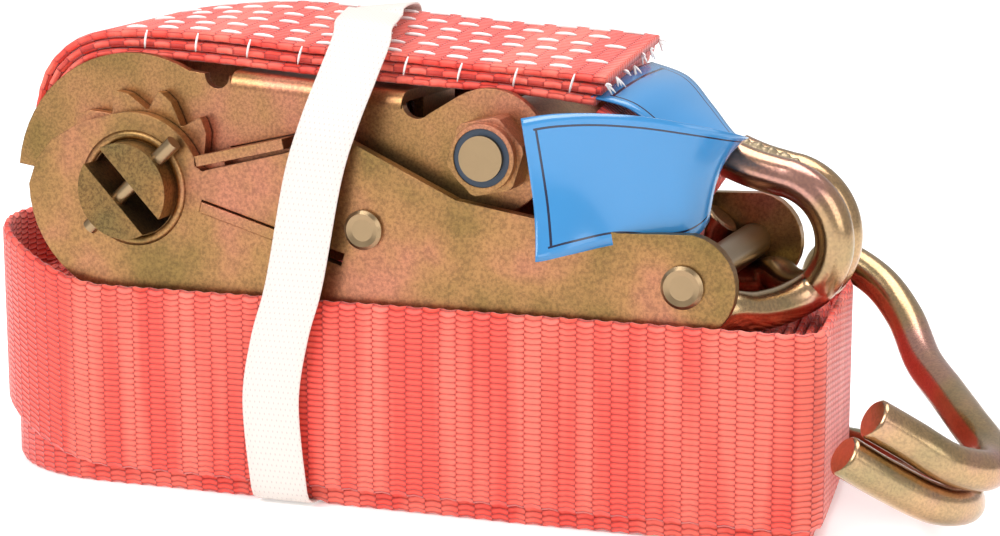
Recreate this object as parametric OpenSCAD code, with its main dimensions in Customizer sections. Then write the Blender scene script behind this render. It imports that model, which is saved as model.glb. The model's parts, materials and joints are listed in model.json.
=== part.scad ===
// Ratchet tie down, packed for storage: a ratchet stands on its own coiled
// webbing, with a claw hook on the ratchet and another on the webbing.
// Inside place() the mandrel's axis is the Y axis, +X runs towards the end
// bolt and +Z is up. place() then sets the whole object on the floor.

/* [Webbing] */
// Width of the webbing
web_w = 35; // [34.5:0.1:35]
// Thickness of one layer of webbing
web_t = 1.8; // [1.6:0.1:1.9]
// Number of turns in the coil
coil_turns = 12; // [9:1:12]
// Distance from one turn of the coil to the next
turn_pitch = 2.0; // [1.95:0.05:2.05]

/* [Frame] */
// Width over the two frame plates
frame_w = 52; // [52:0.1:52.4]
// Thickness of a frame plate
plate_t = 2.5; // [2.4:0.1:2.5]
// Mandrel axis to end bolt, lengthwise
bolt_x = 105.5; // [105:0.1:106]
// Mandrel axis to end bolt, downwards
bolt_drop = 11.7; // [11.5:0.1:11.8]
// Radius of the frame plates around the end bolt
frame_end_r = 9.3; // [9:0.1:9.4]

/* [Mandrel] */
// Radius of the slotted mandrel
mandrel_r = 8.9; // [8.5:0.1:8.9]
// Width of the slot that takes the webbing
slot_w = 4.5; // [3.5:0.1:5]
// Slope of the slot, seen from the front
slot_angle = -47; // [-60:1:-30]
// Length that each mandrel end stands out of the frame
mandrel_out = 4.8; // [4:0.1:4.8]
// Number of ratchet teeth
teeth = 12; // [12]
// Tip radius of the ratchet wheel
wheel_r = 18.2; // [18:0.1:18.2]
// Root radius of the ratchet wheel
root_r = 14.4; // [14.2:0.1:14.6]
// Thickness of the ratchet wheel
wheel_t = 2.5; // [2.2:0.1:2.6]

/* [Handle] */
// Width over the two handle plates
handle_w = 40.8; // [40.4:0.1:40.8]
// Thickness of the handle sheet
handle_t = 2; // [1.8:0.1:2]
// Radius of the release cam at the mandrel end
cam_r = 24.9; // [24.5:0.1:25]
// Radius of the lobe around the grip bolt
grip_lobe_r = 11.3; // [11:0.1:11.4]

/* [Hooks] */
// Diameter of the hook wire
wire_d = 7; // [6.6:0.1:7]

/* [Packing] */
// Width of the packing band
band_w = 11.2; // [10:0.1:11.5]
// Thickness of the packing band
band_t = 0.5; // [0.4:0.1:0.6]

/* [Hidden] */
$fn = 64;
wire_r = wire_d / 2;
clear = 0.06;                       // running clearance of a shaft in its hole
plate_out = frame_w / 2;
plate_in = plate_out - plate_t;
handle_out = handle_w / 2;
handle_in = handle_out - handle_t;
wheel_in = handle_out + 0.3;        // inner face of a ratchet wheel
rivet = [46.3, -5.1];               // cross rivet, x and z
end_bolt_at = [bolt_x, -bolt_drop];
grip = [69.5, 9.2];                 // grip bolt, x and z
tooth_phase = 17;
coil_outer_top = -18.1;             // top edge of the outermost turn
coil_top = -21.7;                   // top edge of the inner turns
mandrel_h = web_w - coil_top;       // height of the mandrel axis
coil_x0 = -9.5;                     // centre of the coil's round left end
coil_x1 = 124;                      // where its right corners start
coil_half = 30.3;                   // half the coil's depth
coil_corner = 8;
coil_slant = 5;                     // how far the right end leans back
origin_x = 61.27;                   // from the mandrel axis to the row's origin
origin_y = -3.63;
band_x = 31;                        // middle of the packing band under the coil
pawl_t = 1.9;
drive_dir = 13;                     // slope of the drive pawl's slot
lock_dir = -16.4;                   // slope of the lock pawl's slot
drive_tip = [13.3, 5.65];
lock_tip = [14.1, -2.7];
loop_at = [115.5, 36.5];             // crossbar of the strap hook, x and y
loop_top = -24.5;
loop_bottom = -48.5;
zinc = "#b08a4e";
steel_grey = "#9a9384";
red = "#d8402f";

// ---- helpers ----

// Sets a child, drawn around the mandrel axis, on the floor.
module place() translate([-origin_x, -origin_y, mandrel_h]) children();

// Stands an outline drawn in x and z upright. It fills from y down to y - t.
module slab(y, t) translate([0, y, 0]) rotate([90, 0, 0]) linear_extrude(t) children();

// A cylinder along Y from y0 to y1 at an x and z place.
module rod(at, r, y0, y1) translate([at[0], y1, at[1]]) rotate([90, 0, 0])
    cylinder(r = r, h = y1 - y0);

function arc(c, r, a0, a1, n) =
    [for (i = [0:n]) let (a = a0 + (a1 - a0) * i / n) c + r * [cos(a), sin(a)]];
function unit(v) = v / norm(v);
// A smooth curve through points, with n steps between two of them.
function curve_at(a, b, c, d, t) = 0.5 * (2 * b + (c - a) * t
    + (2 * a - 5 * b + 4 * c - d) * t * t + (3 * b - a - 3 * c + d) * t * t * t);
function smooth(p, n) = [for (i = [0:len(p) - 2], k = [0:n - 1])
    curve_at(p[max(i - 1, 0)], p[i], p[i + 1], p[min(i + 2, len(p) - 1)], k / n),
    p[len(p) - 1]];
function tangents(p) =
    [for (i = [0:len(p) - 1]) unit(p[min(i + 1, len(p) - 1)] - p[max(i - 1, 0)])];
// Side directions that turn as little as possible along the curve.
function sides_of(t, first) = [for (i = 0, s = unit(first - t[0] * (t[0] * first));
    i < len(t); i = i + 1,
    s = unit(s - t[min(i, len(t) - 1)] * (t[min(i, len(t) - 1)] * s))) s];

// Joins rings of equal length into one closed skin.
module skin(rings, closed = false) {
    m = len(rings[0]);
    n = len(rings);
    last = closed ? n - 1 : n - 2;
    walls = [for (i = [0:last], k = [0:m - 1])
        [i * m + k, i * m + (k + 1) % m, ((i + 1) % n) * m + (k + 1) % m, ((i + 1) % n) * m + k]];
    caps = closed ? [] : [[for (k = [m - 1:-1:0]) k], [for (k = [0:m - 1]) (n - 1) * m + k]];
    polyhedron([for (ring = rings) each ring], concat(walls, caps), convexity = 6);
}

// A round wire along a curve.
module wire(path, r, n = 12, first = [0, 1, 0.01]) {
    t = tangents(path);
    s = sides_of(t, first);
    skin([for (i = [0:len(path) - 1]) [for (k = [0:n - 1])
        path[i] + r * (cos(-360 * k / n) * s[i] + sin(-360 * k / n) * cross(t[i], s[i]))]]);
}

// A flat strap along a curve; across holds the direction of its width at each point.
module strap(path, across, widths, t, closed = false) {
    n = len(path);
    along = [for (i = [0:n - 1]) unit(closed ? path[(i + 1) % n] - path[(i + n - 1) % n]
        : path[min(i + 1, n - 1)] - path[max(i - 1, 0)])];
    up = [for (i = [0:n - 1]) unit(cross(along[i], across[i]))];
    skin([for (i = [0:n - 1]) [for (c = [[-1, -1], [-1, 1], [1, 1], [1, -1]])
        path[i] + c[0] * widths[i] / 2 * unit(across[i]) + c[1] * t / 2 * up[i]]], closed);
}

// A slot with a straight direction, drawn in x and z.
module slot2d(from, direction, length, width)
    translate(from) rotate(direction) translate([0, -width / 2]) square([length, width]);

// ---- frame ----

// The round end about the mandrel is cut lower above the notch, where the
// drive pawl reaches the wheel. The notch holds the pawl with the handle shut.
module frame_outline() polygon(concat(
    arc([-1.2, -0.3], 20.8, 180, 270, 12),
    arc(end_bolt_at, frame_end_r, 270, 440, 14),
    [[93.8, -3], [77.9, -1.2], [63.9, 1.1], [42.4, 11.1], [41, 11],
        [33, 8.5], [15.2, 4.1], [14.2, 3.8], [12.7, 4.7]],
    arc([0, 0], 14.1, 26, 105, 8),
    [[-10.7, 11.8], [-17, 8.2], [-20.3, 4.2]]));

module frame_plate(y) difference() {
    slab(y, plate_t) frame_outline();
    rod([0, 0], mandrel_r + clear, y - plate_t - 1, y + 1);
    rod(rivet, 3, y - plate_t - 1, y + 1);
    rod(end_bolt_at, 3.3, y - plate_t - 1, y + 1);
    slab(y + 1, plate_t + 2)
        slot2d(lock_tip - 0.4 * [cos(lock_dir), sin(lock_dir)], lock_dir, 29.5, pawl_t + 0.5);
}

module frame_plate_near() place() color(zinc) frame_plate(-plate_in);
module frame_plate_far() place() color(zinc) frame_plate(plate_out);

// A shank with a flat, rounded head on each frame plate.
module headed_pin(at, shank_r, head_r, head_h) {
    rod(at, shank_r, -plate_out - 0.2, plate_out + 0.2);
    for (s = [-1, 1]) translate([at[0], s * plate_out, at[1]]) rotate([-90 * s, 0, 0])
        rotate_extrude() polygon([[0, 0.02], [head_r, 0.02], [head_r, head_h - 0.5],
            [head_r - 0.6, head_h], [head_r - 1.6, head_h - 0.25], [0, head_h - 0.25]]);
}

module cross_rivet() place() color(steel_grey) headed_pin(rivet, 3 - 0.01, 3.6, 1.3);
module end_bolt() place() color(steel_grey) headed_pin(end_bolt_at, 3.3 - 0.01, 3.8, 1.2);

module spacer_tube() place() color(zinc) difference() {
    rod(rivet, 3.5, -plate_in + 0.05, plate_in - 0.05);
    rod(rivet, 3.02, -plate_in - 1, plate_in + 1);
}

// ---- pawls and their springs ----

// A flat pawl that spans the frame. Its ears run out through the slots; a wedge
// tip on each side reaches the teeth of one wheel.
module pawl(tip, direction, inner_from, inner_to, ear_to, tooth_from) {
    half = [handle_in - 0.3, plate_out + 0.8];
    translate([tip[0], 0, tip[1]]) rotate([0, -direction, 0]) {
        translate([inner_from, -half[0], -pawl_t / 2])
            cube([inner_to - inner_from, 2 * half[0], pawl_t]);
        for (s = [-1, 1]) {
            translate([tooth_from[0], s > 0 ? half[0] - 1 : -plate_in + 0.2, -pawl_t / 2])
                cube([ear_to - tooth_from[0], plate_in - 0.2 - half[0] + 1, pawl_t]);
            translate([0, s > 0 ? plate_in - 0.3 : -half[1], -pawl_t / 2])
                cube([ear_to, half[1] - plate_in + 0.3, pawl_t]);
            translate([tooth_from[1], s > 0 ? wheel_in + 0.1 : -plate_in + 0.2, 0])
                cube([tooth_from[0] - tooth_from[1] + 1, plate_in - wheel_in - 0.3, pawl_t / 2]);
        }
    }
}

module lock_pawl() place() color(zinc) pawl(lock_tip, lock_dir, 4.9, 17, 16.5, [4.6, 3]);

// The handle's pawl also has a turned-up finger rest behind the spring.
module drive_pawl() place() color(zinc) {
    pawl(drive_tip, drive_dir, 5, 25, 18, [5.2, 4]);
    translate([drive_tip[0], 0, drive_tip[1]]) rotate([0, -drive_dir, 0])
        translate([23.4, -12, pawl_t / 2 - 0.1]) cube([1.6, 24, 3.4]);
}

// A compression spring from one point to another, seen as a helix.
module spring(from, to, coil_r, wire, turns) {
    axis = to - from;
    u = unit(axis);
    v = [0, 1, 0];
    w = cross(u, v);
    steps = turns * 12;
    wire([for (i = [0:steps]) let (a = i * 30) from + axis * i / steps
        + coil_r * (cos(a) * v + sin(a) * w)], wire, 6, u);
}

module lock_pawl_spring() place() color(steel_grey)
    spring([31.4, 0, -7.8], [41.9, 0, -5.7], 2.2, 0.4, 6);
module drive_pawl_spring() place() color(steel_grey)
    spring([38.8, 0, 11.1], [48.1, 0, 13.1], 2.4, 0.4, 6);

// ---- mandrel ----

module mandrel_half(side) difference() {
    intersection() {
        rod([0, 0], mandrel_r, -plate_out - mandrel_out, plate_out + mandrel_out);
        rotate([0, -slot_angle, 0]) translate([-15, -40, side > 0 ? slot_w / 2 : -15])
            cube([30, 80, 15 - slot_w / 2]);
    }
    for (s = [-1, 1]) pin_rod(s, 1.5, 15, 15);
}

// A cylinder across the slot at one end of the mandrel.
module pin_rod(s, r, up, down) translate([0, s * (plate_out + mandrel_out / 2), 0])
    rotate([0, -slot_angle, 0]) translate([0, 0, -down]) cylinder(r = r, h = up + down);

module mandrel_half_upper() place() color(zinc) mandrel_half(1);
module mandrel_half_lower() place() color(zinc) mandrel_half(-1);
module split_pins() place() color(steel_grey) for (s = [-1, 1]) pin_rod(s, 1.45, 13.5, 11);

function tooth(a) = [[a, wheel_r], [a + 4.3, root_r + 0.3], [a + 6.5, root_r],
    [a + 12, root_r + 1], [a + 20, wheel_r - 1], [a + 27.5, wheel_r - 0.05]];
module wheel(y) difference() {
    slab(y, wheel_t) polygon([for (i = [0:teeth - 1], p = tooth(tooth_phase + i * 360 / teeth))
        p[1] * [cos(p[0]), sin(p[0])]]);
    rod([0, 0], mandrel_r + 0.02, y - wheel_t - 1, y + 1);
}
module ratchet_wheel_near() place() color(zinc) wheel(-wheel_in);
module ratchet_wheel_far() place() color(zinc) wheel(wheel_in + wheel_t);

// ---- handle ----

cam_at = [-2.5, -0.5];
grip_lobe = [68, 9.2];
web_x = [17.6, 51.4];               // ends of the web that joins the two sides
web_slope = -4.2;
web_bend = 3;                       // outer radius of the bend into each side
function web_z(x) = 21.6 + (x - 18) * tan(web_slope);

// The release cam, a notch, the web, a notch, the grip lobe and the hub.
module handle_outline() polygon(concat(
    arc(cam_at, cam_r, 173, 62, 18),
    [[12.4, 21.1]],
    arc([14.9, 20.9], 2.5, 180, 360, 10),
    [[web_x[0], web_z(web_x[0]) - web_bend], [web_x[1], web_z(web_x[1]) - web_bend]],
    arc([54.3, 17.4], 2.9, 190, 315, 8),
    arc(grip_lobe, grip_lobe_r, 122, -105, 24),
    [[58, -0.9], [12.7, -0.9]],
    arc([0, 0], 12.8, -8, -170, 16),
    [[-24.3, 2.1]]));

module handle_side(y) difference() {
    slab(y, handle_t) handle_outline();
    rod([0, 0], mandrel_r + clear, y - handle_t - 1, y + 1);
    rod(grip, 4.05, y - handle_t - 1, y + 1);
    slab(y + 1, handle_t + 2) slot2d(drive_tip + 4.4 * [cos(drive_dir), sin(drive_dir)],
        drive_dir, 19.2, pawl_t + 0.5);
}

// The bent top of the sheet, as a rounded channel.
module web_section() difference() {
    union() {
        translate([-handle_out, -web_bend]) square([handle_w, 0.001]);
        translate([-handle_out + web_bend, -web_bend]) square([handle_w - 2 * web_bend, web_bend]);
        for (s = [-1, 1]) translate([s * (handle_out - web_bend), -web_bend]) circle(web_bend);
    }
    translate([-handle_in + 1, -web_bend]) square([2 * handle_in - 2, web_bend - handle_t]);
    for (s = [-1, 1]) translate([s * (handle_in - 1), -web_bend]) circle(web_bend - handle_t);
    translate([-handle_w, -2 * web_bend]) square([2 * handle_w, web_bend]);
}

module handle_shell() place() color(zinc) {
    handle_side(-handle_in);
    handle_side(handle_out);
    translate([web_x[0], 0, web_z(web_x[0])]) rotate([0, -web_slope, 0])
        rotate([90, 0, 90]) linear_extrude((web_x[1] - web_x[0]) / cos(web_slope)) web_section();
    // Tab that holds the end of the pawl spring
    translate([48.9, -8, 9.5]) cube([1.8, 16, 9.3]);
}

// ---- grip ----

module hexagon_along_y(at, across_flats, y0, y1) translate([at[0], y1, at[1]])
    rotate([90, 0, 0]) rotate(12) cylinder(r = across_flats / sqrt(3), h = y1 - y0, $fn = 6);

module grip_bolt() place() color(steel_grey) {
    rod(grip, 4, -handle_out - 8.6, handle_out + 1);
    hexagon_along_y(grip, 13, handle_out + 0.02, handle_out + 5.3);
}

module grip_nut() place() color(zinc) difference() {
    union() {
        intersection() {
            hexagon_along_y(grip, 13, -handle_out - 6.2, -handle_out - 0.05);
            rod(grip, 7.2, -handle_out - 7, -handle_out);
        }
        rod(grip, 6, -handle_out - 8, -handle_out - 6);
    }
    rod(grip, 4.02, -handle_out - 9, -handle_out + 1);
    rod(grip, 5.2, -handle_out - 9, -handle_out - 6.4);
}

module nut_insert() place() color("#1d2733") difference() {
    rod(grip, 5.18, -handle_out - 7.7, -handle_out - 6.45);
    rod(grip, 4.02, -handle_out - 9, -handle_out - 6);
}

module grip_sleeve() place() color(zinc) difference() {
    rod(grip, 8, -handle_in + 0.2, handle_in - 0.2);
    rod(grip, 4.1, -handle_in - 1, handle_in + 1);
}

// ---- ratchet hook ----

eye_r = 7;
bend_at = [115.3, -6.5];
bend_r = 11.6;
pair_y = wire_r + 0.1;
eye_y = 19.4;
function at_y(p, y) = [p[0], y, p[1]];
function ratchet_hook_path() = concat(
    [for (p = arc(end_bolt_at, eye_r, 135, 300, 11)) at_y(p, -eye_y)],
    [[111.6, -17.6, -16.9], [115, -13.2, -17.7], [118.4, -8.4, -17.4], [121.3, -4.9, -16.2]],
    [for (p = arc(bend_at, bend_r, -45, 84, 12)) at_y(p, -pair_y)],
    [[111.8, -pair_y, 6.2], [107, -pair_y, 8]]);

module hook_wire() wire(smooth(ratchet_hook_path(), 2), wire_r, 14);
module ratchet_hook_wire_near() place() color(zinc) hook_wire();
module ratchet_hook_wire_far() place() color(zinc) mirror([0, 1, 0]) hook_wire();

// Weld run in the groove between the two wires at the point
module ratchet_hook_weld() place() color(steel_grey)
    wire([for (p = [[108.3, 10], [112, 8.5], [116, 7.1], [119.6, 5.6]]) at_y(p, 0)], 1.3, 8);

// ---- strap hook ----

strap_hook_points = [
    [142.5, -44.5, -27.2], [148, -40.6, -31.3], [154, -36.5, -35.8], [158.6, -28.5, -38.4],
    [157.6, -18.5, -38], [152.2, -8.5, -35.6], [146.4, 2.5, -33.2], [140.3, 13, -30.2],
    [134.6, 24.2, -24.6], [127.8, 31.2, -19.4], [118.8, 36, -16.2],
    [115.5, 36.5, -19.6], [115.5, 36.5, -27], [115.5, 36.5, -36], [115.5, 36.5, -44],
    [115.5, 36.5, -50], [118.6, 35.8, -52.8], [127.5, 31, -52.6], [137, 20, -51.6], [142.6, 8, -49.6],
    [147.4, -4.4, -47.6], [151.8, -15.4, -46.2], [154.6, -25.4, -45.4],
    [151.1, -35.7, -42.8], [144.4, -41.8, -38], [138.2, -46.3, -33.2]];

module strap_hook_wire() place() color(zinc)
    wire(smooth(strap_hook_points, 3), wire_r, 14, [0.3, 0.2, 1]);

// Weld run between the two wires beside the bend
module strap_hook_weld() place() color(steel_grey)
    wire([[155, -9, -41.8], [157.4, -14.6, -42.2], [159, -20, -42.4]], 1.2, 8);

// ---- webbing ----

// The plan of one turn of the coil, drawn smaller by inset. Its left end is a
// half circle and its right end leans back.
module coil_outline(inset) {
    r = max(coil_corner - inset, 1);
    push = coil_corner - inset - r;
    side = coil_half - inset - r;
    lean = atan2(coil_slant, 2 * (coil_half - coil_corner));
    polygon(concat(
        arc([coil_x0, 0], coil_half - inset, 90, 270, 24),
        arc([coil_x1 + push, -side], r, 270, 360 + lean, 8),
        arc([coil_x1 - coil_slant + push, side], r, lean, 90, 8)));
}

module strap_coil() place() color(red) {
    translate([0, 0, coil_outer_top - web_w]) linear_extrude(web_w) difference() {
        coil_outline(0);
        coil_outline(turn_pitch);
    }
    difference() {
        translate([0, 0, coil_top - web_w]) linear_extrude(web_w) difference() {
            coil_outline(turn_pitch);
            coil_outline(turn_pitch * coil_turns);
        }
        // Hollow under the eyes of the ratchet hook
        translate([95, -25, coil_top - 1.3]) cube([27, 50, 5]);
        // Groove that the packing band lies in
        translate([band_x - band_w / 2 - 0.4, -40, coil_top - web_w - 1])
            cube([band_w + 0.8, 80, 1 + band_t + 0.3]);
    }
}

// Three sewn layers that lie on the handle's web and turn down behind its cams
module sewn_flap() place() color(red) slab(web_w / 2, web_w) polygon([
    [-10, 5], [-10.2, 12], [-8.4, 18.6], [-3, 22.5], [18, 22.4], [51.4, 20], [72, 18.6],
    [88, 17], [88.3, 23.4], [70, 27.2], [50, 28.8], [20, 30.2], [0, 30], [-8, 28.8],
    [-14.2, 24.8], [-16.3, 18], [-16.4, 12], [-16.2, 5]]);

// The single layer that leaves the flap and hangs down between the frame plates
lead_path = smooth([[89.6, 0, 15.8], [93.6, 1.5, 10.5], [96.2, 2.5, 4.5], [97.2, 0.5, -3],
    [97.4, 0, -11], [97.4, 0, -19.5]], 3);
lead_across = smooth([[0, 1, 0], [0.15, 0.98, -0.05], [0.3, 0.93, -0.15], [0.1, 1, -0.03],
    [0, 1, 0], [0, 1, 0]], 3);
lead_widths = smooth([33, 34, 34, 30, 29.6, 29.6], 3);
module strap_lead() place() color(red) strap(lead_path, lead_across, lead_widths, web_t);

// The end of the webbing, folded round the strap hook's crossbar and sewn to
// itself. It lies against the back of the coil and narrows into the hook.
hook_strap_back = coil_half + 0.15;
hook_strap_end = 52;
loop_r = wire_r + 0.3 + web_t;
narrow_from = loop_at[0] - 18;
narrow_to = loop_at[0] - 6;
module hook_strap() place() color(red) intersection() {
    translate([0, 0, coil_top - web_w]) linear_extrude(web_w + 5) difference() {
        union() {
            translate([hook_strap_end, hook_strap_back])
                square([narrow_from + 6.1 - hook_strap_end, 2 * web_t]);
            polygon([[narrow_from + 6, hook_strap_back], loop_at - [0, loop_r],
                loop_at + loop_r * [cos(100), sin(100)],
                [narrow_from + 6, hook_strap_back + 2 * web_t]]);
            translate(loop_at) circle(loop_r);
        }
        translate(loop_at) circle(wire_r + 0.3);
    }
    slab(60, 60) polygon([[hook_strap_end - 1, coil_outer_top - web_w],
        [narrow_from, coil_outer_top - web_w], [narrow_to, loop_bottom],
        [loop_at[0] + 10, loop_bottom], [loop_at[0] + 10, loop_top], [narrow_to, loop_top],
        [narrow_from, coil_outer_top], [hook_strap_end - 1, coil_outer_top]]);
}

// ---- label and packing ----

module identity_label() place() color("#3a95d6") {
    // Panel that hangs in front of the frame
    slab(-plate_out - 1.3, 0.5) polygon([[78.2, 16.6], [88.9, 18.4], [100, 18.1], [108.4, 16.3],
        [113.5, 13], [109, -2], [94, -2.4], [88, -6], [82.5, -8.6], [80, 2]]);
    // Part that comes out from under the flap
    slab(10, 37.6) polygon([[88.9, 17.9], [100, 17.6], [108.4, 15.8], [108.6, 16.4],
        [100.1, 18.2], [88.9, 18.5]]);
}

// The band's middle line, once round the ratchet and the coil
band_path = [[31, 0, -56.45], [31, -30, -56.3], [30.6, -31, -54], [29.6, -30.9, -37],
    [33.4, -30.7, -17], [39.2, -27.6, 11], [41.4, -23.6, 20], [43.2, -19, 29.4],
    [42.2, -16.4, 31], [38.5, 0, 31.6], [35.5, 16.4, 31.2], [34.4, 19, 29.4],
    [34, 23.6, 20], [33.6, 27.6, 11], [32.6, 30.7, -17], [31.8, 30.9, -37],
    [31.4, 31, -54], [31.2, 30, -56.3]];
module packing_band() place() color("#e6dfd6")
    strap(band_path, [for (p = band_path) [1, 0, 0.001]], [for (p = band_path) band_w], band_t, true);

frame_plate_near();
frame_plate_far();
cross_rivet();
spacer_tube();
end_bolt();
lock_pawl();
lock_pawl_spring();
mandrel_half_upper();
mandrel_half_lower();
split_pins();
ratchet_wheel_near();
ratchet_wheel_far();
handle_shell();
grip_bolt();
grip_nut();
nut_insert();
grip_sleeve();
drive_pawl();
drive_pawl_spring();
ratchet_hook_wire_near();
ratchet_hook_wire_far();
ratchet_hook_weld();
strap_hook_wire();
strap_hook_weld();
strap_coil();
sewn_flap();
strap_lead();
hook_strap();
identity_label();
packing_band();
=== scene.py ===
"""Looks of a packed ratchet tie down, built around its CAD frame.

Shapes are worked out in millimetres around the mandrel's axis, with +X towards the end bolt,
+Y to the back and +Z up. place() turns them into the frame's metres.
"""

import json
import math
import random

import bpy
import numpy as np
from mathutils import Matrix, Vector


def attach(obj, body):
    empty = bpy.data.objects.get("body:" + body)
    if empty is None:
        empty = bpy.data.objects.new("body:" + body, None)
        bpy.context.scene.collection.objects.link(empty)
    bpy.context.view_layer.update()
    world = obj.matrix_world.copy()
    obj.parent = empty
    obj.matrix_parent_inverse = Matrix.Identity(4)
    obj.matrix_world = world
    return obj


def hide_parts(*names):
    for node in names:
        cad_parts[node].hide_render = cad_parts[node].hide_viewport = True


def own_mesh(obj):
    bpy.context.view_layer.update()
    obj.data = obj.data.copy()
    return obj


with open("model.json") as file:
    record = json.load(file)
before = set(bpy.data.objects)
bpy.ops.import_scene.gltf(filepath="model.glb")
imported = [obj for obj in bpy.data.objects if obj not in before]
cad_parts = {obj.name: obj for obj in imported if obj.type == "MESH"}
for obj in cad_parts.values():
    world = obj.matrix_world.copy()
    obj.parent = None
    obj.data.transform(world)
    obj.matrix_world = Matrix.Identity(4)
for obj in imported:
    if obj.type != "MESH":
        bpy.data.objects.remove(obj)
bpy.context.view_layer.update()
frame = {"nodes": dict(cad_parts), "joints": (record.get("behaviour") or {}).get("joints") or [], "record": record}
MM = 0.001
joints = {j["name"]: j for j in frame["joints"]}
ORIGIN = Vector(joints["mandrel_spin"]["pos_m"])


def place(point):
    return ORIGIN + Vector(point) * MM


# ---- camera ----

CAMERA_AT = (217.8, -428.4, 70.5)
CAMERA_AZIMUTH = math.radians(19.9)
CAMERA_ELEVATION = math.radians(10.71)
CAMERA_LENS = 89.1


def make_camera():
    az, el = CAMERA_AZIMUTH, CAMERA_ELEVATION
    back = Vector((math.sin(az) * math.cos(el), -math.cos(az) * math.cos(el), math.sin(el)))
    camera = bpy.data.objects.new("camera", bpy.data.cameras.new("camera"))
    camera.data.lens = CAMERA_LENS
    camera.data.sensor_width = 36
    camera.data.clip_end = 50
    camera.location = place(CAMERA_AT)
    camera.rotation_euler = back.to_track_quat("Z", "Y").to_euler()
    bpy.context.collection.objects.link(camera)
    bpy.context.scene.camera = camera


make_camera()

# ---- sizes ----

WEB_W = 35.0
WEB_T = 1.8
FRAME_HALF = 26.0                   # mid-plane to a frame plate's outer face
COLUMN = 3.2                        # length of one float of the weave
ROW = 1.08                          # its height
WIRE_R = 3.5
COIL_HALF = 30.3
COIL_LEFT = -9.5
COIL_RIGHT = 124.0
COIL_CORNER = 8.0
COIL_SLANT = 5.0
COIL_TURNS = 12
TURN_PITCH = 2.0
COIL_SKIN = 0.9                     # outside of the coil to the middle of its outermost turn
CURVE_STEP = 0.8                    # spacing of points along webbing
OUTER_TOP = -18.1
INNER_TOP = -21.7
LOOP_AT = (115.5, 36.5)
LOOP_TOP = -24.5
LOOP_BOTTOM = -48.5
BAND_X = 31.0
STITCH_ROWS = 6
STITCH_ROW_GAP = 5.7
END_BOLT = (105.5, -11.7)
EYE_Y = 19.4                        # the hook wires' eyes on the end bolt
EYE_DENT = 1.3                      # depth that they press into the coil
END_RISE = 8.2                      # the outermost turn's climb at the coil's left end


# ---- materials ----


class Nodes:
    """A material's node tree, with a short way to add and wire nodes."""

    def __init__(self, name):
        self.material = bpy.data.materials.new(name)
        self.material.use_nodes = True
        self.tree = self.material.node_tree
        self.shader = self.tree.nodes["Principled BSDF"]

    def add(self, kind, inputs=(), **settings):
        node = self.tree.nodes.new(kind)
        for key, value in settings.items():
            setattr(node, key, value)
        for key, value in dict(inputs).items():
            self.set(node, key, value)
        return node

    def set(self, node, key, value):
        if isinstance(value, bpy.types.NodeSocket):
            self.tree.links.new(value, node.inputs[key])
        else:
            node.inputs[key].default_value = value

    def math(self, operation, a, b=0.0, clamp=False):
        node = self.add("ShaderNodeMath", {0: a, 1: b}, operation=operation, use_clamp=clamp)
        return node.outputs[0]

    def noise(self, vector, scale, detail=2.0, roughness=0.5):
        node = self.add("ShaderNodeTexNoise", {"Vector": vector, "Scale": scale,
                        "Detail": detail, "Roughness": roughness})
        return node.outputs["Fac"]

    def ramp(self, factor, stops):
        node = self.add("ShaderNodeValToRGB", {"Fac": factor})
        elements = node.color_ramp.elements
        while len(elements) < len(stops):
            elements.new(0.5)
        for element, (position, color) in zip(elements, stops):
            element.position = position
            element.color = (*color, 1)
        return node.outputs["Color"]

    def mix(self, factor, a, b, blend="MIX"):
        node = self.add("ShaderNodeMix", data_type="RGBA", blend_type=blend)
        self.set(node, 0, factor)
        for index, value in ((6, a), (7, b)):
            self.set(node, index, value if isinstance(value, bpy.types.NodeSocket) else (*value, 1))
        return node.outputs[2]

    def bump(self, height, distance, strength=1.0, normal=None):
        inputs = {"Height": height, "Distance": distance, "Strength": strength}
        if normal:
            inputs["Normal"] = normal
        return self.add("ShaderNodeBump", inputs).outputs["Normal"]

    def finish(self, **sockets):
        for key, value in sockets.items():
            name = key.replace("_", " ")
            if not isinstance(value, bpy.types.NodeSocket) and hasattr(value, "__len__"):
                value = (*value, 1)
            self.set(self.shader, name, value)
        return self.material


def zinc(name, gold, pink, olive, roughness, speckle, bevel):
    """Yellow chromate zinc plate: a metal whose colour drifts, with fine speckle."""
    n = Nodes(name)
    at = n.add("ShaderNodeTexCoord").outputs["Object"]
    drift = n.noise(at, 45, 3)
    color = n.ramp(drift, [(0.36, olive), (0.5, gold), (0.66, pink)])
    grain = n.noise(at, 1900, 2, 0.7)
    color = n.mix(speckle, color, n.ramp(grain, [(0.35, (0.18, 0.1, 0.05)), (0.62, (1, 0.86, 0.62))]),
                  "OVERLAY")
    rough = n.math("MULTIPLY_ADD", n.noise(at, 160, 3), 0.16)
    n.set(rough.node, 2, roughness - 0.08)
    soft_edge = n.add("ShaderNodeBevel", {"Radius": bevel}, samples=3).outputs["Normal"]
    normal = n.bump(grain, 0.00004, 0.35, soft_edge)
    return n.finish(Base_Color=color, Metallic=1.0, Roughness=rough, Normal=normal)


def plain_metal(name, color, roughness):
    n = Nodes(name)
    at = n.add("ShaderNodeTexCoord").outputs["Object"]
    tint = n.mix(n.noise(at, 90, 3), [c * 0.75 for c in color], color)
    normal = n.bump(n.noise(at, 1500, 2), 0.00003, 0.4)
    return n.finish(Base_Color=tint, Metallic=1.0, Roughness=roughness, Normal=normal)


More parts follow.
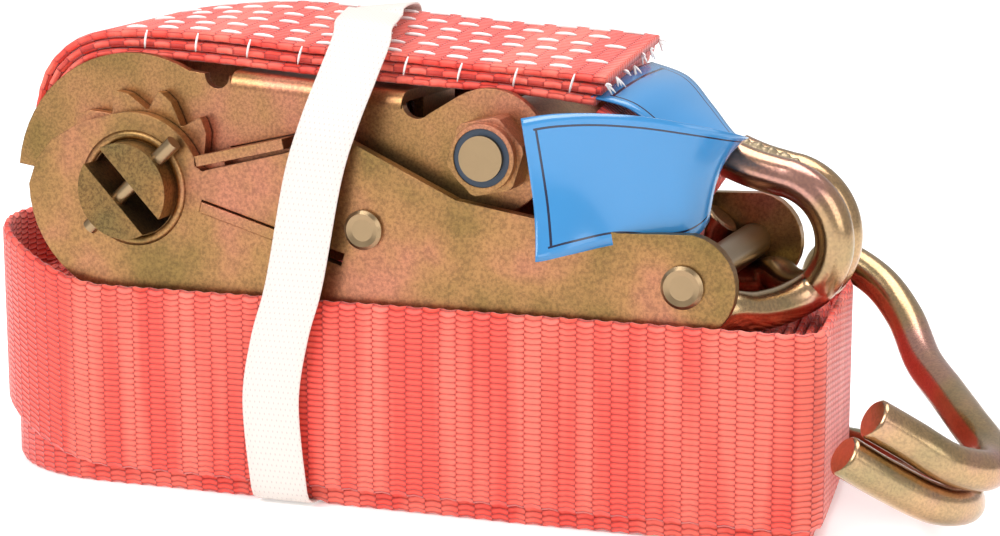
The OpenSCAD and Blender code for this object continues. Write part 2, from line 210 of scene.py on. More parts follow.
def webbing_material():
    """Woven polyester. The UV map counts the weave's columns and rows."""
    n = Nodes("webbing")
    uv = n.add("ShaderNodeUVMap", uv_map="weave").outputs["UV"]
    split = n.add("ShaderNodeSeparateXYZ", {"Vector": uv})
    u, v = split.outputs["X"], split.outputs["Y"]
    across = n.math("ABSOLUTE", n.math("SUBTRACT", n.math("FRACT", n.math("ADD", v,
                    n.math("MULTIPLY", n.math("MODULO", n.math("FLOOR", u), 2.0), 0.5))), 0.5))
    along = n.math("ABSOLUTE", n.math("SUBTRACT", n.math("FRACT", u), 0.5))
    across = n.math("MULTIPLY", across, 2.0)
    along = n.math("MULTIPLY", along, 2.0)
    point = n.math("ADD", n.math("MULTIPLY", along, 0.72), n.math("MULTIPLY",
                   n.math("MULTIPLY", across, along), 0.42))
    end = n.math("SUBTRACT", 1.0, n.math("POWER", point, 7.0), clamp=True)
    side = n.math("SQRT", n.math("SUBTRACT", 1.0, n.math("POWER", across, 2.4), clamp=True))
    height = n.math("MULTIPLY", end, side)
    at = n.add("ShaderNodeTexCoord").outputs["Object"]
    fibre = n.noise(n.add("ShaderNodeMapping", {"Vector": uv, "Scale": (1.5, 9, 1)}).outputs[0], 3, 2)
    # Colour by weave height: painted shade in the crevices between floats, and a painted highlight on the float
    # tops.
    shade = n.ramp(height, [(0.0, (0.34, 0.012, 0.006)), (0.45, (0.64, 0.03, 0.018)),
                            (0.85, (0.84, 0.055, 0.034)), (1.0, (0.93, 0.095, 0.06))])
    # Pale salmon bands along the strap, on the float tops only: a painted highlight.
    painted_highlight_bands = n.noise(n.add("ShaderNodeMapping", {"Vector": uv, "Scale": (0.33, 0.01, 1)}).outputs[0], 1, 2)
    painted_highlight_bands = n.math("MULTIPLY", n.ramp(painted_highlight_bands, [(0.44, (0, 0, 0)), (0.58, (1, 1, 1))]), 0.8)
    shade = n.mix(n.math("MULTIPLY", painted_highlight_bands, height), shade, (0.98, 0.20, 0.135))
    shade = n.mix(0.35, shade, n.ramp(fibre, [(0.3, (0.45, 0.4, 0.4)), (0.7, (1, 1, 1))]), "MULTIPLY")
    shade = n.mix(n.math("MULTIPLY", n.noise(at, 30, 1), 0.2), shade, (0.5, 0.02, 0.014))
    normal = n.bump(height, 0.0004, 0.75)
    return n.finish(Base_Color=shade, Roughness=0.52, Normal=normal, Sheen_Weight=0.25,
                    Sheen_Roughness=0.4)


def label_material():
    """Glossy film with a thin line round its edge. The UV map runs from 0 to 1."""
    n = Nodes("label")
    uv = n.add("ShaderNodeUVMap", uv_map="film").outputs["UV"]
    split = n.add("ShaderNodeSeparateXYZ", {"Vector": uv})
    lines = []
    for axis, inner, half in (("X", 0.05, 0.0035), ("Y", 0.09, 0.008)):
        other = split.outputs["Y" if axis == "X" else "X"]
        edge = n.math("SUBTRACT", 0.5, n.math("ABSOLUTE", n.math("SUBTRACT", split.outputs[axis], 0.5)))
        on = n.math("LESS_THAN", n.math("ABSOLUTE", n.math("SUBTRACT", edge, inner)), half)
        margin = 0.09 if axis == "X" else 0.05
        room = n.math("SUBTRACT", 0.5, n.math("ABSOLUTE", n.math("SUBTRACT", other, 0.5)))
        lines.append(n.math("MULTIPLY", on, n.math("GREATER_THAN", room, margin - half)))
    line = n.math("MAXIMUM", lines[0], lines[1])
    color = n.mix(line, (0.03, 0.21, 0.47), (0.003, 0.01, 0.04))
    return n.finish(Base_Color=color, Roughness=0.24, Coat_Weight=0.5, Coat_Roughness=0.1)


def band_material():
    """White packing film with a fine dotted emboss."""
    n = Nodes("band")
    uv = n.add("ShaderNodeUVMap", uv_map="weave").outputs["UV"]
    split = n.add("ShaderNodeSeparateXYZ", {"Vector": uv})
    u = n.math("MULTIPLY", split.outputs["X"], 3.0)
    v = n.math("MULTIPLY", split.outputs["Y"], 1.15)
    shift = n.math("MULTIPLY", n.math("MODULO", n.math("FLOOR", u), 2.0), 0.5)
    du = n.math("SUBTRACT", n.math("FRACT", u), 0.5)
    dv = n.math("SUBTRACT", n.math("FRACT", n.math("ADD", v, shift)), 0.5)
    far = n.math("ADD", n.math("MULTIPLY", du, du), n.math("MULTIPLY", n.math("MULTIPLY", dv, dv), 3.0))
    dot = n.math("LESS_THAN", far, 0.045)
    color = n.mix(dot, (0.68, 0.61, 0.56), (0.52, 0.46, 0.44))
    return n.finish(Base_Color=color, Roughness=0.5, Normal=n.bump(dot, 0.00004, 0.4))


def plain(name, color, roughness):
    n = Nodes(name)
    at = n.add("ShaderNodeTexCoord").outputs["Object"]
    return n.finish(Base_Color=color, Roughness=roughness, Normal=n.bump(n.noise(at, 900), 0.00003, 0.5))


GOLD = (0.33, 0.185, 0.085)
PINK = (0.41, 0.18, 0.12)
OLIVE = (0.21, 0.14, 0.055)
SHEET = zinc("zinc_sheet", GOLD, PINK, OLIVE, 0.38, 0.30, 0.0003)
BAR = zinc("zinc_bar", (0.24, 0.14, 0.06), (0.32, 0.18, 0.09), (0.15, 0.11, 0.05), 0.42, 0.4, 0.0002)
WIRE = zinc("zinc_wire", (0.42, 0.28, 0.16), (0.46, 0.25, 0.21), (0.26, 0.22, 0.12), 0.22, 0.18, 0.0002)
PALE = plain_metal("pale_zinc", (0.36, 0.25, 0.14), 0.3)
SPRING = plain_metal("spring_steel", (0.5, 0.48, 0.45), 0.3)
WELD = plain_metal("weld", (0.40, 0.31, 0.2), 0.45)
NYLON = plain("nylon", (0.02, 0.035, 0.06), 0.4)
WEBBING = webbing_material()
THREAD = plain("thread", (0.86, 0.82, 0.80), 0.6)
LABEL = label_material()
BAND = band_material()
SLOT_MATERIALS = {"zinc_sheet": SHEET, "zinc_bar": BAR, "zinc_wire": WIRE, "fastener_steel": PALE,
                  "spring_steel": SPRING, "weld": WELD, "nylon": NYLON, "webbing": WEBBING,
                  "label": LABEL, "band": BAND}


def paint_cad_nodes():
    for entry in frame["record"]["subparts"]:
        node = frame["nodes"][entry["node"]]
        node.data.materials.clear()
        node.data.materials.append(SLOT_MATERIALS[entry["material_slot"]])


paint_cad_nodes()

# ---- curves and meshes ----


def unit(vectors):
    vectors = np.asarray(vectors, float)
    return vectors / np.linalg.norm(vectors, axis=-1, keepdims=True)


def smooth(points, steps, closed=False):
    """A Catmull-Rom curve through the points, with this many steps between two of them."""
    p = np.asarray(points, float)
    count = len(p)
    out = []
    for i in range(count if closed else count - 1):
        index = [(i + k) % count if closed else min(max(i + k, 0), count - 1) for k in (-1, 0, 1, 2)]
        a, b, c, d = p[index]
        for t in np.arange(steps) / steps:
            out.append(0.5 * (2 * b + (c - a) * t + (2 * a - 5 * b + 4 * c - d) * t ** 2
                              + (3 * b - a - 3 * c + d) * t ** 3))
    if not closed:
        out.append(p[-1])
    return np.array(out)


def even(points, step, closed=False):
    """The same curve with points an even step apart."""
    p = np.asarray(points, float)
    if closed:
        p = np.vstack([p, p[:1]])
    length = np.concatenate([[0], np.cumsum(np.linalg.norm(np.diff(p[:, :3], axis=0), axis=1))])
    count = max(int(length[-1] / step), 2)
    at = np.linspace(0, length[-1], count + 1)
    if closed:
        at = at[:-1]
    return np.stack([np.interp(at, length, p[:, k]) for k in range(p.shape[1])], axis=1)


def tangents(path, closed=False):
    if closed:
        return unit(np.roll(path, -1, axis=0) - np.roll(path, 1, axis=0))
    return unit(np.gradient(path, axis=0))


def mesh_object(name, vertices, faces, material, smooth_shading=True, uv=None, uv_name="weave"):
    mesh = bpy.data.meshes.new(name)
    world = np.asarray(vertices, float) * MM + np.array(ORIGIN)
    mesh.from_pydata(world.tolist(), [], [tuple(int(i) for i in f) for f in faces])
    mesh.polygons.foreach_set("use_smooth", [smooth_shading] * len(mesh.polygons))
    if uv is not None:
        layer = mesh.uv_layers.new(name=uv_name)
        index = np.empty(len(mesh.loops), int)
        mesh.loops.foreach_get("vertex_index", index)
        layer.data.foreach_set("uv", np.asarray(uv, float)[index].ravel())
    mesh.materials.append(material)
    mesh.validate()
    mesh.update()
    piece = bpy.data.objects.new(name, mesh)
    bpy.context.collection.objects.link(piece)
    return piece


def ring_faces(rows, ring, closed=False):
    """Faces that join rows of points, each row a closed ring, with end caps if the rows don't close."""
    faces = []
    for i in range(rows if closed else rows - 1):
        j = (i + 1) % rows
        for k in range(ring):
            m = (k + 1) % ring
            faces.append((i * ring + k, i * ring + m, j * ring + m, j * ring + k))
    if not closed:
        faces.append(tuple(range(ring - 1, -1, -1)))
        faces.append(tuple((rows - 1) * ring + k for k in range(ring)))
    return faces


def ribbon(name, path, across, widths, thickness, material, closed=False, scallop=0.28,
           profile=(-1, -0.94, -0.6, -0.2, 0.2, 0.6, 0.94, 1), u_start=0.0):
    """A strap along a path. Its edges are rounded and pinched once for each column of the weave."""
    path, across = np.asarray(path, float), unit(across)
    rows = len(path)
    along = tangents(path, closed)
    up = unit(np.cross(along, across))
    step = np.linalg.norm(np.diff(path, axis=0), axis=1)
    length = np.concatenate([[0], np.cumsum(step)])
    wave = np.cos(2 * math.pi * (length + u_start) / COLUMN)
    vertices, uv = [], []
    for side in (1, -1):
        for v in (profile if side == 1 else profile[::-1]):
            edge = abs(v) > 0.97
            reach = widths / 2 * v - (np.sign(v) * scallop * 0.5 * (1 - wave) if abs(v) > 0.9 else 0)
            lift = side * thickness / 2 * (0.45 if edge else 1.0)
            vertices.append(path + across * np.reshape(reach, (-1, 1)) + up * lift)
            uv.append(np.stack([(length + u_start) / COLUMN,
                                (v * widths / 2 + WEB_W) / ROW * np.ones(rows)], axis=1))
    ring = len(vertices)
    vertices = np.stack(vertices, axis=1).reshape(-1, 3)
    uv = np.stack(uv, axis=1).reshape(-1, 2)
    return mesh_object(name, vertices, ring_faces(rows, ring, closed), material, uv=uv)


def tube_points(path, radius, sides, first, closed=False):
    """Rings of points around a path. radius is one number or one for each point of the path."""
    path = np.asarray(path, float)
    radius = np.broadcast_to(radius, (len(path),))
    along = tangents(path, closed)
    side = np.array(first, float)
    turn = 2 * math.pi * np.arange(sides) / sides
    rings = []
    for point, t, r in zip(path, along, radius):
        side = side - t * side.dot(t)
        side = side / np.linalg.norm(side)
        other = np.cross(t, side)
        rings.append(point + r * (np.cos(turn)[:, None] * side + np.sin(turn)[:, None] * other))
    return np.array(rings)


def tube(name, path, radius, material, sides=24, first=(0, 1, 0.01), ends=0.5):
    """A round wire with flat ends whose rims are broken by a small chamfer."""
    path = np.asarray(path, float)
    radius = np.array(np.broadcast_to(radius, (len(path),)), float)
    out = unit(tangents(path)[[0, -1]])
    inner = [path[0], path[-1]]
    path = np.vstack([inner[0], inner[0] + out[0] * 0.01, inner[0] + out[0] * ends, path[1:-1],
                      inner[1] - out[1] * ends, inner[1] - out[1] * 0.01, inner[1]])
    radius = np.concatenate([[0.05, max(radius[0] - ends, 0.1), radius[0]], radius[1:-1],
                             [radius[-1], max(radius[-1] - ends, 0.1), 0.05]])
    rings = tube_points(path, radius, sides, first)
    piece = mesh_object(name, rings.reshape(-1, 3), ring_faces(len(rings), sides), material)
    flat = {0, len(rings) - 2}
    faces = piece.data.polygons
    for index, face in enumerate(faces):
        row = index // sides
        if row in flat or index >= len(faces) - 2:
            face.use_smooth = False
    return piece


def merge(name, pieces):
    """Joins mesh pieces into one object."""
    bpy.ops.object.select_all(action="DESELECT")
    for piece in pieces:
        piece.select_set(True)
    bpy.context.view_layer.objects.active = pieces[0]
    bpy.ops.object.join()
    pieces[0].name = name
    pieces[0].data.name = name
    return pieces[0]


def ease(share):
    """Goes smoothly from 0 to 1 as the share does, and stays there outside that range."""
    share = np.clip(share, 0, 1)
    return share * share * (3 - 2 * share)


def wobble(length, seed, wave, size):
    """A slow, seeded wander along a length."""
    draw = random.Random(seed)
    phases = [(draw.uniform(0, 2 * math.pi), draw.uniform(0.6, 1.5)) for _ in range(4)]
    return size * sum(np.sin(2 * math.pi * length / wave * f + p) for p, f in phases) / 4


# ---- coil ----


def coil_outline(inset):
    """One turn's plan, from the back's right end anticlockwise: back, left end, front, right end."""
    r = max(COIL_CORNER - inset, 1.2)
    push = COIL_CORNER - inset - r
    side = COIL_HALF - inset - r
    lean = math.atan2(COIL_SLANT, 2 * (COIL_HALF - COIL_CORNER))

    def arc(x, y, radius, a0, a1, steps):
        return [(x + radius * math.cos(a0 + (a1 - a0) * k / steps),
                 y + radius * math.sin(a0 + (a1 - a0) * k / steps)) for k in range(steps + 1)]

    left = arc(COIL_LEFT, 0, COIL_HALF - inset, math.pi / 2, 1.5 * math.pi, 40)
    near = arc(COIL_RIGHT + push, -side, r, -math.pi / 2, lean, 12)
    far = arc(COIL_RIGHT - COIL_SLANT + push, side, r, lean, math.pi / 2, 12)
    return np.array([far[-1]] + left + near + far)


def make_coil():
    """The webbing, wound from the outside in. Its outermost turn stands higher than the others."""
    turns = []
    for turn in range(COIL_TURNS):
        insets = [COIL_SKIN + TURN_PITCH * (turn + k) for k in (0, 1)]
        insets[1] = min(insets[1], TURN_PITCH * COIL_TURNS - 0.95)
        outer = even(coil_outline(insets[0]), CURVE_STEP)
        inner = even(coil_outline(insets[1]), CURVE_STEP)
        share = np.linspace(0, 1, len(outer))
        inner = np.stack([np.interp(share, np.linspace(0, 1, len(inner)), inner[:, k])
                          for k in (0, 1)], axis=1)
        blend = share[:, None]
        plan = outer * (1 - blend) + inner * blend
        drop = np.clip((share if turn == 1 else (1 if turn > 1 else 0)) * 9, 0, 1) * np.ones(len(plan))
        turns.append(np.column_stack([plan, drop])[:-1])
    path = np.vstack(turns)
    length = np.concatenate([[0], np.cumsum(np.linalg.norm(np.diff(path[:, :2], axis=0), axis=1))])
    high, low = OUTER_TOP - WEB_W / 2, INNER_TOP - WEB_W / 2
    drop = path[:, 2]
    rise = ease((-5 - path[:, 0]) / 34) * END_RISE
    sway = wobble(length, 4, 90, 0.7)
    middle = (high + rise) * (1 - drop) + (low + np.abs(sway) * 0.9) * drop
    over_band = np.clip(1.6 - np.abs(path[:, 0] - BAND_X) / 5.6, 0, 1) * drop * 0.8
    lean = wobble(length, 9, 140, 0.012)
    under_eye = (np.clip((9 - np.abs(path[:, 0] - END_BOLT[0])) / 4, 0, 1)
                 * np.clip((6.4 - np.abs(np.abs(path[:, 1]) - EYE_Y)) / 2.4, 0, 1) * EYE_DENT * drop)
    middle = middle + over_band / 2 - under_eye / 2
    centers = np.column_stack([path[:, 0], path[:, 1], middle])
    across = np.column_stack([np.zeros(len(path)), lean, np.ones(len(path))])
    piece = ribbon("coiled_webbing", centers, across, WEB_W - over_band - under_eye, WEB_T - 0.1, WEBBING)
    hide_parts("strap_coil")
    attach(piece, "frame")
    return piece


coil = make_coil()

# ---- flap, its stitches and the strap that leaves it ----

FLAP_LINE = [(-21.4, 6), (-21.2, 13), (-18.2, 19.6), (-10, 23.6), (8, 23.5), (30, 21.9),
             (54, 20.6), (73, 19.7), (88, 18.1)]
FLAP_TILT = math.radians(8)
FLAP_ENDS = [86.5, 87.4, 88.2]      # right ends of the layers, from the lowest up
LAYER_STEP = 1.85


def flap_layer(layer, x_end):
    """The middle line of one layer and the direction across it."""
    line = even(smooth(FLAP_LINE, 12), CURVE_STEP)
    line = line[line[:, 0] < x_end]
    along = unit(np.gradient(line, axis=0))
    up = np.stack([-along[:, 1], along[:, 0]], axis=1)
    offset = layer * LAYER_STEP + 0.25 * layer * wobble(line[:, 0], 20 + layer, 60, 1)
    line = line + up * np.reshape(offset, (-1, 1))
    tilt = FLAP_TILT * np.clip((line[:, 0] + 20) / 40, 0, 1)
    raise_by = WEB_W / 2 * np.sin(tilt)
    path = np.column_stack([line[:, 0], np.zeros(len(line)), line[:, 1] + raise_by])
    across = np.column_stack([np.zeros(len(line)), np.cos(tilt), np.sin(tilt)])
    return path, across


def make_flap():
    layers = []
    for layer, x_end in enumerate(FLAP_ENDS):
        path, across = flap_layer(layer, x_end)
        layers.append(ribbon(f"flap_layer_{layer}", path, across, np.full(len(path), WEB_W - 0.6 * layer),
                             WEB_T - 0.15, WEBBING, u_start=layer * 1.1,
                             profile=(-1, -0.94, -0.7, -0.4, 0, 0.4, 0.7, 0.94, 1)))
    flap = merge("sewn_flap_layers", layers)
    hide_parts("sewn_flap")
    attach(flap, "frame")
    return flap


def dash(start, end, normal, radius=0.36, bow=0.12):
    """One stitch: a short thread that bows over the webbing."""
    start, end, normal = (np.array(p, float) for p in (start, end, normal))
    t = np.linspace(0, 1, 5)[:, None]
    path = start + (end - start) * t + normal * (bow * np.sin(math.pi * t) + 0.05)
    radii = radius * np.array([0.55, 0.95, 1, 0.95, 0.55])
    return tube_points(path, radii, 6, normal + 0.01)


def threads(name, runs):
    """Many short threads in one mesh."""
    vertices, faces = [], []
    for rings in runs:
        base = len(vertices)
        count, sides = rings.shape[:2]
        vertices.extend(rings.reshape(-1, 3).tolist())
        faces.extend(tuple(base + i for i in f) for f in ring_faces(count, sides))
    return mesh_object(name, vertices, faces, THREAD)


def flap_stitches():
    path, across = flap_layer(len(FLAP_ENDS) - 1, FLAP_ENDS[-1])
    along = tangents(path)
    up = np.cross(along, across)
    draw = random.Random(7)
    runs = []
    for row in range(STITCH_ROWS):
        v = (row - (STITCH_ROWS - 1) / 2) * STITCH_ROW_GAP
        start = 34 + (row % 2) * 6
        for first in range(start, len(path) - 7, 8):
            i, j = first, first + 5
            shift = v + draw.uniform(-0.3, 0.3)
            ends = [path[k] + across[k] * shift + up[k] * (WEB_T / 2) for k in (i, j)]
            runs.append(dash(ends[0], ends[1], up[i]))
    # Ends of the sewing threads where the flap stops
    for row in range(7):
        v = (row - 3) * 5.4 + draw.uniform(-0.6, 0.6)
        base = path[-1] + across[-1] * v - up[-1] * draw.uniform(0.2, 1.6)
        for _ in range(3):
            lean = np.array([draw.uniform(0.4, 1.8), draw.uniform(-0.9, 0.9), draw.uniform(-1.6, 0.5)])
            t = np.linspace(0, 1, 5)[:, None]
            line = base + lean * t + np.array([0, 0, -0.5]) * t * t
            runs.append(tube_points(line, np.array([0.25, 0.24, 0.22, 0.18, 0.1]), 5, (0, 0.3, 1)))
    # Stitches that show on the near edge, where they pull the layers together
    for first in range(40, len(path) - 6, 13):
        edge = path[first] - across[first] * (WEB_W / 2 + 0.05)
        runs.append(dash(edge - up[first] * 2.6, edge + up[first] * 0.9 + along[first] * 0.9,
                         -across[first], 0.22, 0.35))
    return threads("flap_stitches", runs)


flap = make_flap()
stitches = flap_stitches()
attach(stitches, "frame")

LEAD_POINTS = [(86.6, 0, 18.9), (90.4, 0.4, 15.4), (93.8, 1.5, 10.4), (96.2, 2.5, 4.5), (97.2, 0.5, -3),
               (97.4, 0, -11), (97.4, 0, -19.5)]
LEAD_ACROSS = [(0, 1, 0.14), (0, 1, 0.1), (0.15, 0.98, -0.05), (0.3, 0.93, -0.15), (0.1, 1, -0.03),
               (0, 1, 0), (0, 1, 0)]
LEAD_WIDTHS = [32, 33, 33.5, 33, 30, 29.4, 29.4]


def make_lead():
    """The single layer that leaves the flap and hangs down between the frame plates."""
    path = smooth(LEAD_POINTS, 12)
    across = unit(smooth(LEAD_ACROSS, 12))
    widths = np.interp(np.linspace(0, 1, len(path)), np.linspace(0, 1, len(LEAD_WIDTHS)), LEAD_WIDTHS)
    piece = ribbon("flap_lead", path, across, widths, WEB_T - 0.2, WEBBING)
    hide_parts("strap_lead")
    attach(piece, "frame")


make_lead()

# ---- webbing that holds the strap hook ----


NARROW_FROM = 97.5                  # where the webbing starts to gather towards the hook
NARROW_RUN = 13.0


def make_hook_strap():
    """The webbing's end, folded round the hook's crossbar and sewn back on itself."""
    cx, cy = LOOP_AT
    r = WIRE_R + 0.35 + WEB_T / 2
    back = COIL_HALF + 0.15 + WEB_T / 2
    outer = [(52.4, back + WEB_T), (80, back + WEB_T), (96, back + WEB_T + 0.1), (103, back + WEB_T + 1)]
    round_bar = [(cx + r * math.cos(a), cy + r * math.sin(a))
                 for a in np.radians([122, 90, 60, 30, 0, -30, -60, -86])]
    inner = [(109.7, back + 0.15), (103, back), (96, back), (80, back), (52.8, back)]
    plan = even(smooth(outer + round_bar + inner, 10), CURVE_STEP)
    narrow = ease((plan[:, 0] - NARROW_FROM) / NARROW_RUN)
    full, tight = OUTER_TOP - WEB_W / 2, (LOOP_TOP + LOOP_BOTTOM) / 2
    path = np.column_stack([plan, full + (tight - full) * narrow])
    widths = WEB_W - 0.2 + (LOOP_TOP - LOOP_BOTTOM - WEB_W) * narrow
    across = np.tile((0.0, 0.0, 1.0), (len(path), 1))
    piece = ribbon("hook_webbing", path, across, widths, WEB_T - 0.15, WEBBING)
    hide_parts("hook_strap")
    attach(piece, "frame")
    runs = []
    for row in range(STITCH_ROWS):
        z = full + (row - (STITCH_ROWS - 1) / 2) * STITCH_ROW_GAP
        for k in range(7):
            x = 56 + (row % 2) * 3 + k * 7
            runs.append(dash((x, back + 1.5 * WEB_T, z), (x + 2.6, back + 1.5 * WEB_T, z), (0, 1, 0)))
    sewing = threads("hook_webbing_stitches", runs)
    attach(sewing, "frame")


make_hook_strap()

# ---- label ----

# Lower and upper edge of the film, from its free end, round its curl, to the seam under the flap
LABEL_EDGES = [
    ((81.6, -31.2, -8.8), (77.0, -28.9, 16.6)), ((87.0, -29.2, -6.6), (82.6, -28.9, 17.6)),
    ((93.4, -25.6, -5.0), (89.8, -28.6, 18.0)), ((100.2, -23.4, -5.2), (98.0, -28.2, 17.8)),
    ((105.4, -21.6, -4.2), (105.8, -26.0, 16.6)), ((107.4, -16.4, -1.0), (112.4, -20.6, 14.6)),
    ((105.4, -12.4, 4.6), (113.0, -12.0, 12.8)), ((101.4, -12.6, 9.6), (108.0, -2.0, 12.0)),
    ((96.8, -14.2, 14.0), (101.4, 6.6, 16.0)), ((92.0, -15.6, 17.6), (95.4, 11.4, 20.4)),
    ((85.6, -16.4, 19.2), (87.6, 14.4, 22.4))]
LABEL_T = 0.3


def make_label():
    low = smooth([e[0] for e in LABEL_EDGES], 8)
    high = smooth([e[1] for e in LABEL_EDGES], 8)
    rows, columns = len(low), 17
    t = np.linspace(0, 1, columns)
    grid = low[:, None, :] * (1 - t)[None, :, None] + high[:, None, :] * t[None, :, None]
    across = unit(high - low)
    normal = unit(np.cross(tangents((low + high) / 2), across))
    bulge = (np.sin(math.pi * t) * 0.9)[None, :, None]
    grid = grid - normal[:, None, :] * bulge
    # The free lower corner rolls outwards
    corner = np.clip(1 - np.arange(rows) / 14, 0, 1)[:, None] * np.clip(1 - t / 0.45, 0, 1)[None, :]
    grid[:, :, 1] -= 3.2 * corner ** 1.6
    grid[:, :, 2] += 1.5 * corner ** 2
    skin = normal[:, None, :] * (LABEL_T / 2)
    ring = np.concatenate([grid + skin, (grid - skin)[:, ::-1, :]], axis=1)
    u = np.repeat(np.linspace(0, 1, rows)[:, None], columns, axis=1)
    v = np.repeat(t[None, :], rows, axis=0)
    uv = np.stack([np.concatenate([u, u], axis=1), np.concatenate([v, v[:, ::-1]], axis=1)], axis=2)
    piece = mesh_object("film_label", ring.reshape(-1, 3), ring_faces(rows, 2 * columns), LABEL,
                        uv=uv.reshape(-1, 2), uv_name="film")
    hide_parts("identity_label")
    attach(piece, "frame")
    return piece


label = make_label()

# ---- packing band ----

BAND_W = 11.2
BAND_T = 0.45
BAND_POINTS = [(31, 0, -56.3), (31, -24, -56.3), (31, -29.6, -55.4), (30.8, -31, -52), (29.6, -31.1, -37),
               (31.6, -31.1, -25), (34.4, -30.6, -15), (37.6, -29, 4), (40.2, -27.2, 14), (42, -23, 22),
               (43.2, -19.2, 28.2), (42.6, -16.8, 30.6), (41, -10, 31.4), (38, 0, 31.7), (35.6, 10, 31.8),
               (34.6, 16.8, 31.3), (34.3, 19.2, 28.8), (34, 23.4, 20), (33.5, 27.6, 10),
               (32.8, 30.4, -14), (32.2, 31, -30), (31.6, 31, -50), (31.3, 29.6, -55.6), (31.1, 24, -56.3)]


def make_band():
    path = even(smooth(BAND_POINTS, 10, True), 1.6, True)
    across = np.tile((1.0, 0.0, 0.0), (len(path), 1))
    side = np.clip((path[:, 2] + 10) / 30, 0, 1) * np.sign(path[:, 1]) * 0.1
    across[:, 2] = side
    piece = ribbon("packing_band_film", path, across, np.full(len(path), BAND_W), BAND_T, BAND, True,
                   scallop=0, profile=(-1, -0.97, -0.5, 0, 0.5, 0.97, 1))
    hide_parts("packing_band")
    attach(piece, "frame")
    return piece


band = make_band()

# ---- hooks ----

EYE_R = 7.0
BEND_AT = (115.3, -6.5)
BEND_R = 11.6
PAIR_Y = 3.6                        # mid-plane to a wire where the two run side by side
BEAD_R = 1.5


def arc_xz(center, radius, first, last, count, y):
    angles = np.radians(np.linspace(first, last, count))
    return [(center[0] + radius * math.cos(a), y, center[1] + radius * math.sin(a)) for a in angles]


def make_ratchet_hook():
    points = (arc_xz(END_BOLT, EYE_R, 135, 300, 12, -EYE_Y)
              + [(111.6, -17.6, -16.9), (115, -13.2, -17.7), (118.4, -8.4, -17.4), (121.3, -4.9, -16.2)]
              + arc_xz(BEND_AT, BEND_R, -45, 84, 13, -PAIR_Y)
              + [(111.8, -PAIR_Y, 6.2), (107, -PAIR_Y, 8)])
    near = smooth(points, 5)
    far = near * np.array([1, -1, 1])
    for side, path in (("near", near), ("far", far)):
        piece = tube(f"ratchet_hook_{side}_wire", path, WIRE_R, WIRE, 28)
        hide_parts(f"ratchet_hook_wire_{side}")
        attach(piece, "ratchet_hook")


def bead(name, points, radius, body, node, draw):
    """A weld run: a lumpy rod with the ripples that a torch leaves."""
    step = 0.35
    path = even(smooth(points, 8), step)
    length = np.arange(len(path)) * step
    lumps = 1 + 0.16 * np.sin(length * 2.4) + np.array([draw.uniform(-0.07, 0.07) for _ in path])
    ends = np.clip(np.minimum(length + 0.3, length[-1] - length + 0.3) / 1.6, 0.1, 1) ** 0.5
    piece = tube(name, path, radius * lumps * ends, WELD, 14, ends=0.1)
    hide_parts(node)
    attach(piece, body)


STRAP_HOOK_POINTS = [
    (142.5, -44.5, -27.2), (148, -40.6, -31.3), (154, -36.5, -35.8), (158.6, -28.5, -38.4),
    (157.6, -18.5, -38), (152.2, -8.5, -35.6), (146.4, 2.5, -33.2), (140.3, 13, -30.2),
    (134.6, 24.2, -24.6), (127.8, 31.2, -19.4), (118.8, 36, -16.2),
    (115.5, 36.5, -19.6), (115.5, 36.5, -27), (115.5, 36.5, -36), (115.5, 36.5, -44),
    (115.5, 36.5, -50), (118.6, 35.8, -52.8), (127.5, 31, -52.6), (137, 20, -51.6), (142.6, 8, -49.6),
    (147.4, -4.4, -47.6), (151.8, -15.4, -46.2), (154.6, -25.4, -45.4),
    (151.1, -35.7, -42.8), (144.4, -41.8, -38), (138.2, -46.3, -33.2)]


def make_strap_hook():
    piece = tube("strap_hook_rod", smooth(STRAP_HOOK_POINTS, 8), WIRE_R, WIRE, 28, (0.3, 0.2, 1))
    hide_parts("strap_hook_wire")
    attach(piece, "strap_hook")


make_ratchet_hook()
make_strap_hook()
welder = random.Random(3)
bead("ratchet_hook_bead", [(108.3, 0, 9.9), (112, 0, 8.6), (116, 0, 7.3), (119.6, 0, 5.9)], BEAD_R,
     "ratchet_hook", "ratchet_hook_weld", welder)
bead("strap_hook_bead", [(155, -9, -41.8), (157.4, -14.6, -42.2), (159, -20, -42.4)], BEAD_R,
     "strap_hook", "strap_hook_weld", welder)

# ---- springs and collars ----


def make_spring(name, start, end, radius, wire, turns, body, node):
    start, end = np.array(start, float), np.array(end, float)
    axis = end - start
    u = unit(axis)
    v = np.array([0.0, 1.0, 0.0])
    w = np.cross(u, v)
    a = np.linspace(0, 2 * math.pi * turns, turns * 20 + 1)[:, None]
    path = start + axis * a / a[-1] + radius * (np.cos(a) * v + np.sin(a) * w)
    piece = tube(name, path, wire, SPRING, 8, tuple(u), ends=0.1)
    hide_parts(node)
    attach(piece, body)
    return piece


# Each spring's end at its pawl, and its end at the body that it rides on
LOCK_SPRING = ((31.4, 0, -7.8), (41.9, 0, -5.7))
DRIVE_SPRING = ((38.8, 0, 11.1), (48.1, 0, 13.1))
SPRING_WIRE = 0.4                   # radius
SPRING_TURNS = 6
lock_spring = make_spring("lock_spring_coil", *LOCK_SPRING, 2.2, SPRING_WIRE, SPRING_TURNS, "frame",
                          "lock_pawl_spring")
drive_spring = make_spring("drive_spring_coil", *DRIVE_SPRING, 2.4, SPRING_WIRE, SPRING_TURNS, "handle",
                           "drive_pawl_spring")


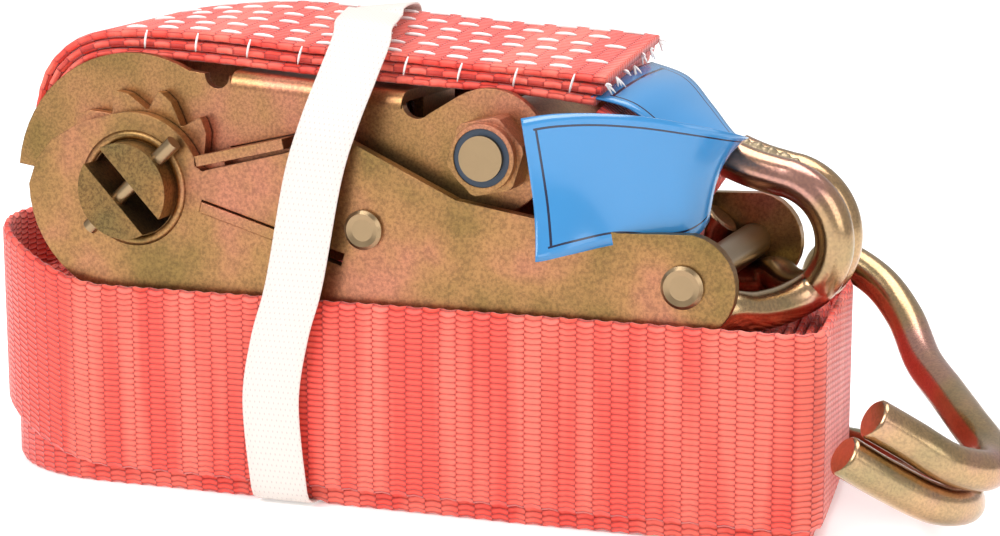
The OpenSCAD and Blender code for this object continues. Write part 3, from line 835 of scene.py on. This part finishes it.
def make_collar(side):
    """The low rim that the press leaves round the mandrel's hole."""
    turn = np.radians(np.arange(0, 360, 5))
    face = side * FRAME_HALF
    rim = [(9.05, 0.0), (9.5, 0.35), (10.1, 0.42), (10.8, 0.0)]
    vertices = [(r * math.cos(a), face + side * h, r * math.sin(a)) for a in turn
                for r, h in rim + [(10.6, -0.2), (9.2, -0.2)]]
    piece = mesh_object(f"mandrel_collar_{'near' if side < 0 else 'far'}", vertices,
                        ring_faces(len(turn), 6, True), SHEET)
    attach(piece, "frame")


make_collar(-1)
make_collar(1)

# ---- the flap, stitches, label, springs and band get meshes of their own ----

for piece, keep in ((flap, 0.5), (stitches, 0.5), (label, 0.8)):
    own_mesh(piece)
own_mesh(lock_spring)
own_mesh(drive_spring)
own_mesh(band)

# ---- floor and lights ----


def make_floor():
    mesh = bpy.data.meshes.new("floor")
    size = 6.0
    mesh.from_pydata([(-size, -size, 0), (size, -size, 0), (size, size, 0), (-size, size, 0)], [],
                     [(0, 1, 2, 3)])
    n = Nodes("floor")
    mesh.materials.append(n.finish(Base_Color=(0.9, 0.9, 0.9), Roughness=0.7,
                                   Emission_Color=(1, 1, 1), Emission_Strength=0.3))
    floor = bpy.data.objects.new("floor", mesh)
    bpy.context.collection.objects.link(floor)


def area_light(name, at, size, power):
    light = bpy.data.lights.new(name, "AREA")
    light.size = size
    light.energy = power
    lamp = bpy.data.objects.new(name, light)
    lamp.location = at
    lamp.rotation_euler = (-Vector(at)).to_track_quat("-Z", "Y").to_euler()
    bpy.context.collection.objects.link(lamp)


def make_lights():
    area_light("key", (-0.5, -0.9, 1.1), 0.8, 15)
    area_light("fill", (1.2, -0.7, 0.6), 0.9, 6)
    area_light("top", (0.2, 0.3, 1.4), 1.0, 14)
    world = bpy.data.worlds.new("world")
    world.use_nodes = True
    sky = world.node_tree.nodes["Background"]
    sky.inputs["Color"].default_value = (1, 1, 1, 1)
    sky.inputs["Strength"].default_value = 0.6
    bpy.context.scene.world = world
    bpy.context.scene.view_settings.view_transform = "Standard"


make_floor()
make_lights()
